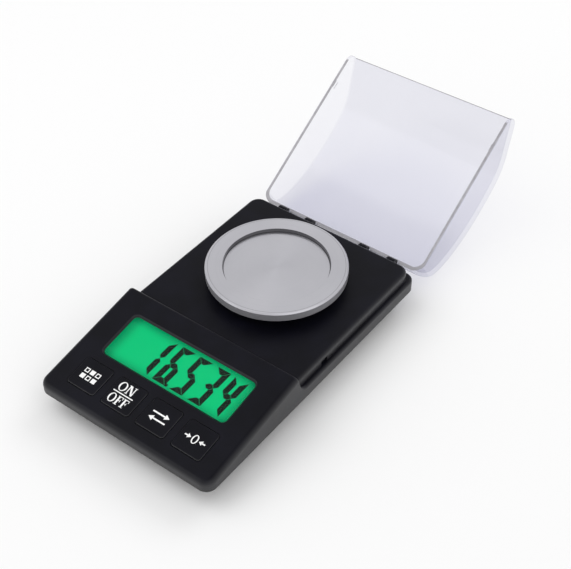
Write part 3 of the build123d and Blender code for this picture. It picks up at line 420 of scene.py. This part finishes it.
def clear_plastic():
    """Clear moulded acrylic: a faint lavender body, painted paler and clearer on the flat side walls, with
    painted grey shade where it is seen edge on and on the cut rims.
    """
    material, tree, shader = new_material("clear_acrylic")
    smudge = object_noise(tree, 40.0, 4.0, (1, 6, 1))
    # The colour of the painted grey shade on the cut rims and on the parts seen edge on, mottled in streaks
    tree.links.new(ramp(tree, smudge, srgb(140, 138, 143), srgb(162, 160, 165)), shader.inputs["Base Color"])
    tree.links.new(spread(tree, smudge, 0.25, 0.4), shader.inputs["Roughness"])
    # Painted light: the flat side walls are drawn paler and clearer than the arch, and elsewhere the tint
    # varies at random
    side_wall = math_node(tree, "GREATER_THAN", math_node(tree, "ABSOLUTE", normal_part(tree, "X")), 0.9)
    clearness_and_side_light = math_node(tree, "MAXIMUM", spread(tree, object_noise(tree, 25.0), 0.0, 0.3), side_wall)
    tint = ramp(tree, clearness_and_side_light, srgb(243, 243, 247), srgb(252, 252, 254), 0.0, 1.0)
    body = add_node(tree, "BsdfTransparent", {"Color": tint})
    gloss = add_node(tree, "BsdfGlossy", {"Roughness": spread(tree, smudge, 0.1, 0.2)})
    weight = add_node(tree, "LayerWeight", {"Blend": 0.5})
    grazing = math_node(tree, "POWER", weight.outputs["Facing"], 7.0)
    clear = mix_shader(tree, spread(tree, grazing, 0.02, 0.12), body, gloss)

    # The cut rims face along the rim's normal and lie near the plane of the hinge
    facing_rim = vector_node(tree, "DOT_PRODUCT", coordinates(tree, "Normal"), RIM_NORMAL)
    from_hinge = vector_node(tree, "SUBTRACT", coordinates(tree), tuple(HINGE))
    depth = vector_node(tree, "DOT_PRODUCT", from_hinge, RIM_NORMAL)
    near_rim = math_node(tree, "GREATER_THAN", depth, -8.0 * MM)
    rim = math_node(tree, "MULTIPLY", spread(tree, facing_rim, 0.0, 0.9, 0.97, 0.995), near_rim)
    # Painted grey shade: the cut rims and the parts seen edge on take the grey shader over the clear body
    grey = math_node(tree, "MAXIMUM", rim, math_node(tree, "MULTIPLY", grazing, 0.8))
    seen = mix_shader(tree, grey, clear, shader)

    # A shadow ray passes, so the shield throws hardly any shadow
    through = add_node(tree, "BsdfTransparent", {"Color": srgb(246, 246, 250)})
    shadow_ray = add_node(tree, "LightPath").outputs["Is Shadow Ray"]
    shaded = mix_shader(tree, shadow_ray, seen, through)
    out = next(n for n in tree.nodes if n.type == "OUTPUT_MATERIAL")
    tree.links.new(shaded.outputs["Shader"], out.inputs["Surface"])
    return material


def window_plastic():
    """The display's clear lens, a thin gloss over what lies under it."""
    material, tree, shader = new_material("window_lens")
    tint = ramp(tree, object_noise(tree, 60.0), srgb(120, 160, 140), srgb(140, 180, 160))
    tree.links.new(tint, shader.inputs["Base Color"])
    tree.links.new(spread(tree, object_noise(tree, 200.0), 0.12, 0.2), shader.inputs["Roughness"])
    shader.inputs["Alpha"].default_value = 0.015
    shader.inputs["Specular IOR Level"].default_value = 0.3
    return material


def lit_glass():
    """The display's glass, lit from behind: even green, a little darker towards its edges."""
    material, tree, shader = new_material("lit_display_glass")
    place = add_node(tree, "SeparateXYZ", {"Vector": coordinates(tree, "Generated")})
    edges = []
    for axis, inner in (("X", 0.10), ("Y", 0.22)):
        from_edge = math_node(tree, "PINGPONG", place.outputs[axis], 0.5)
        edges.append(spread(tree, from_edge, 0.62, 1.0, 0.02, inner, interpolation_type="SMOOTHSTEP"))
    light = math_node(tree, "MULTIPLY", *edges)
    colour = ramp(tree, light, srgb(0, 60, 38), srgb(0, 104, 64), 0.4, 1.0)
    glow = ramp(tree, light, srgb(0, 112, 70), srgb(0, 178, 108), 0.4, 1.0)
    tree.links.new(colour, shader.inputs["Base Color"])
    tree.links.new(glow, shader.inputs["Emission Color"])
    shader.inputs["Emission Strength"].default_value = 0.95
    shader.inputs["Specular IOR Level"].default_value = 0.02
    shader.inputs["Roughness"].default_value = 0.35
    return material


def printed(name, colour, glow=0.0):
    """Ink of one colour with a faint mottle, which may glow a little so that it stays white."""
    material, tree, shader = new_material(name)
    pale = tuple(min(1.0, c * 1.06) for c in colour[:3]) + (1.0,)
    dim = tuple(c * 0.92 for c in colour[:3]) + (1.0,)
    tree.links.new(ramp(tree, object_noise(tree, 900.0), dim, pale), shader.inputs["Base Color"])
    shader.inputs["Roughness"].default_value = 0.55
    shader.inputs["Specular IOR Level"].default_value = 0.1
    if glow:
        shader.inputs["Emission Color"].default_value = colour
        shader.inputs["Emission Strength"].default_value = glow
    return material


def metal(name, dark, light, rough, stretch=(1, 1, 1)):
    """Plain metal with a fine grain, drawn out along an axis where the stretch is less."""
    material, tree, shader = new_material(name)
    grain = object_noise(tree, 900.0, 3.0, stretch)
    tree.links.new(ramp(tree, grain, dark, light), shader.inputs["Base Color"])
    tree.links.new(spread(tree, grain, rough - 0.08, rough + 0.08), shader.inputs["Roughness"])
    bump(tree, shader, grain, 0.15, GRAIN_DEPTH)
    shader.inputs["Metallic"].default_value = 1.0
    return material


black = moulded("black_moulded_plastic", srgb(9, 9, 16), srgb(14, 14, 23), 0.4, 0.35, 0.08,
                side_specular=0.6, edge_radius=CASING_EDGE)
under_black = moulded("lower_black_plastic", srgb(14, 14, 17), srgb(20, 20, 23), 0.42, 0.6, 0.2,
                      side_specular=0.6, edge_radius=CASING_EDGE)
key_black = moulded("key_black_plastic", srgb(9, 9, 16), srgb(13, 13, 21), 0.36, 0.25, 0.07,
                    side_specular=1.0, edge_radius=KEY_EDGE)
soft_rubber = moulded("black_rubber", srgb(20, 20, 20), srgb(30, 30, 30), 0.8, 0.8, 0.2)
white_part = moulded("white_inner_plastic", srgb(222, 221, 216), srgb(236, 235, 231), 0.5, 0.3)
board_part = moulded("green_board", srgb(12, 78, 40), srgb(18, 98, 50), 0.35, 0.5, 0.4, grain_scale=1600.0)
chip_part = moulded("chip_resin", srgb(22, 22, 24), srgb(32, 32, 34), 0.6, 0.6)
red_lead = moulded("red_lead_sleeve", srgb(150, 20, 16), srgb(176, 28, 22), 0.45, 0.3)
cell_wrap = moulded("cell_wrap", srgb(60, 66, 78), srgb(84, 90, 102), 0.3, 0.15, 0.5)
steel_pan = turned_steel()
plain_steel = metal("zinc_plated_steel", srgb(170, 172, 176), srgb(205, 206, 210), 0.35)
milled_alloy = metal("milled_aluminium", srgb(186, 188, 192), srgb(216, 217, 220), 0.4, (8, 1, 8))
gold_foil = metal("gauge_foil", srgb(190, 150, 70), srgb(220, 184, 100), 0.35)
clear_shield = clear_plastic()
window_lens = window_plastic()
display_glass = lit_glass()
figure_ink = printed("display_figure_ink", srgb(0, 16, 6))
white_ink = printed("white_print", srgb(238, 238, 238), 0.12)

NODE_MATERIALS = {
    black: ["upper_casing"],
    under_black: ["lower_casing", "battery_door"],
    key_black: [key + "_key" for key in KEY_X],
    soft_rubber: ["rubber_feet", "zebra_strip", "pan_cushion"],
    white_part: ["lcd_backlight", "lcd_frame", "pan_table"] + [key + "_switch_plunger" for key in KEY_X],
    board_part: ["main_board"],
    chip_part: ["controller_chip", "converter_chip", "key_switches"],
    red_lead: ["battery_leads", "load_cell_leads"],
    cell_wrap: ["battery_cells"],
    steel_pan: ["weighing_pan"],
    plain_steel: ["casing_screws", "board_screws", "fixed_end_screws", "free_end_screws", "pan_table_screw",
                  "overload_stop_screw", "hinge_pins", "terminal_contacts", "bridge_contact",
                  "load_cell_arm"],
    milled_alloy: ["load_cell_beam", "board_capacitors"],
    gold_foil: ["strain_gauges"],
    clear_shield: ["shield_lid"],
    window_lens: ["lcd_lens"],
    display_glass: ["lcd_glass"],
}
for material, names in NODE_MATERIALS.items():
    for name in names:
        NODES[name].data.materials.clear()
        NODES[name].data.materials.append(material)

# Printed pieces
piece("display_figures", display_figures, "casing", figure_ink)
KEY_SIGNS = {"power": power_sign, "count": count_sign, "mode": mode_sign, "tare": tare_sign}
for key, sign in KEY_SIGNS.items():
    piece(key + "_key_print", sign, key + "_button", white_ink)


# Floor

FLOOR_GREY = 0.95
floor_mesh = bpy.data.meshes.new("floor")
floor_bm = bmesh.new()
bmesh.ops.create_grid(floor_bm, x_segments=1, y_segments=1, size=4.0)
floor_bm.to_mesh(floor_mesh)
floor_bm.free()
floor = bpy.data.objects.new("floor", floor_mesh)
bpy.context.scene.collection.objects.link(floor)
floor_material, _, floor_shader = new_material("pale_floor")
floor_shader.inputs["Base Color"].default_value = (FLOOR_GREY, FLOOR_GREY, FLOOR_GREY, 1)
floor_shader.inputs["Roughness"].default_value = 0.9
floor_shader.inputs["Specular IOR Level"].default_value = 0.0
floor_mesh.materials.append(floor_material)

# A white room: soft for matt surfaces, full white where it is seen straight, mirrored or through something
ROOM_LIGHT = 0.7
world = bpy.data.worlds.new("studio")
bpy.context.scene.world = world
world.use_nodes = True
world_tree = world.node_tree
world_tree.nodes.clear()
soft = add_node(world_tree, "Background", {"Color": (1, 1, 1, 1), "Strength": ROOM_LIGHT})
bright = add_node(world_tree, "Background", {"Color": (1, 1, 1, 1), "Strength": 1.0})
rays = add_node(world_tree, "LightPath").outputs
shown = math_node(world_tree, "MAXIMUM", rays["Is Camera Ray"], rays["Is Transmission Ray"])
shown = math_node(world_tree, "MAXIMUM", shown, rays["Is Glossy Ray"])
world_mix = mix_shader(world_tree, shown, soft, bright)
add_node(world_tree, "OutputWorld", {"Surface": world_mix.outputs["Shader"]})


# Lamps, with places and sizes in metres and power in watts

def area_light(name, place, width, height, power):
    """A soft rectangular lamp that points at the object."""
    lamp = bpy.data.lights.new(name, "AREA")
    lamp.shape = "RECTANGLE"
    lamp.size = width
    lamp.size_y = height
    lamp.energy = power
    obj = bpy.data.objects.new(name, lamp)
    obj.location = place
    obj.rotation_euler = (-Vector(place)).to_track_quat("-Z", "Y").to_euler()
    bpy.context.scene.collection.objects.link(obj)


area_light("key_light", (-0.55, -0.35, 0.95), 0.9, 0.9, 3.4)
area_light("fill_light", (0.7, -0.2, 0.7), 0.9, 0.9, 1.2)
area_light("back_light", (0.1, 0.9, 0.75), 0.7, 0.5, 2.2)

# Camera, as fitted to the photograph
AZIMUTH = radians(37.3173)
ELEVATION = radians(43.0876)
ROLL = radians(-0.3961)
TARGET = Vector((-2.1546 * MM, FRONT_Y + 98.5204 * MM, 7.9 * MM))
DISTANCE = 479.52 * MM
SENSOR_WIDTH = 36.0
FOCAL_PIXELS = 1206.405
PHOTO_WIDTH_PIXELS = 571
back = Vector((sin(AZIMUTH) * cos(ELEVATION), -cos(AZIMUTH) * cos(ELEVATION), sin(ELEVATION)))
right = Vector((cos(AZIMUTH), sin(AZIMUTH), 0))
up = back.cross(right)
right_rolled = right * cos(ROLL) + up * sin(ROLL)
up_rolled = up * cos(ROLL) - right * sin(ROLL)
camera_data = bpy.data.cameras.new("camera")
camera_data.sensor_width = SENSOR_WIDTH
camera_data.lens = SENSOR_WIDTH * FOCAL_PIXELS / PHOTO_WIDTH_PIXELS
camera_data.clip_start = 0.01
camera = bpy.data.objects.new("camera", camera_data)
camera.matrix_world = Matrix((right_rolled, up_rolled, back)).transposed().to_4x4()
camera.matrix_world.translation = TARGET + back * DISTANCE
bpy.context.scene.collection.objects.link(camera)
bpy.context.scene.camera = camera
bpy.context.scene.view_settings.view_transform = "Standard"
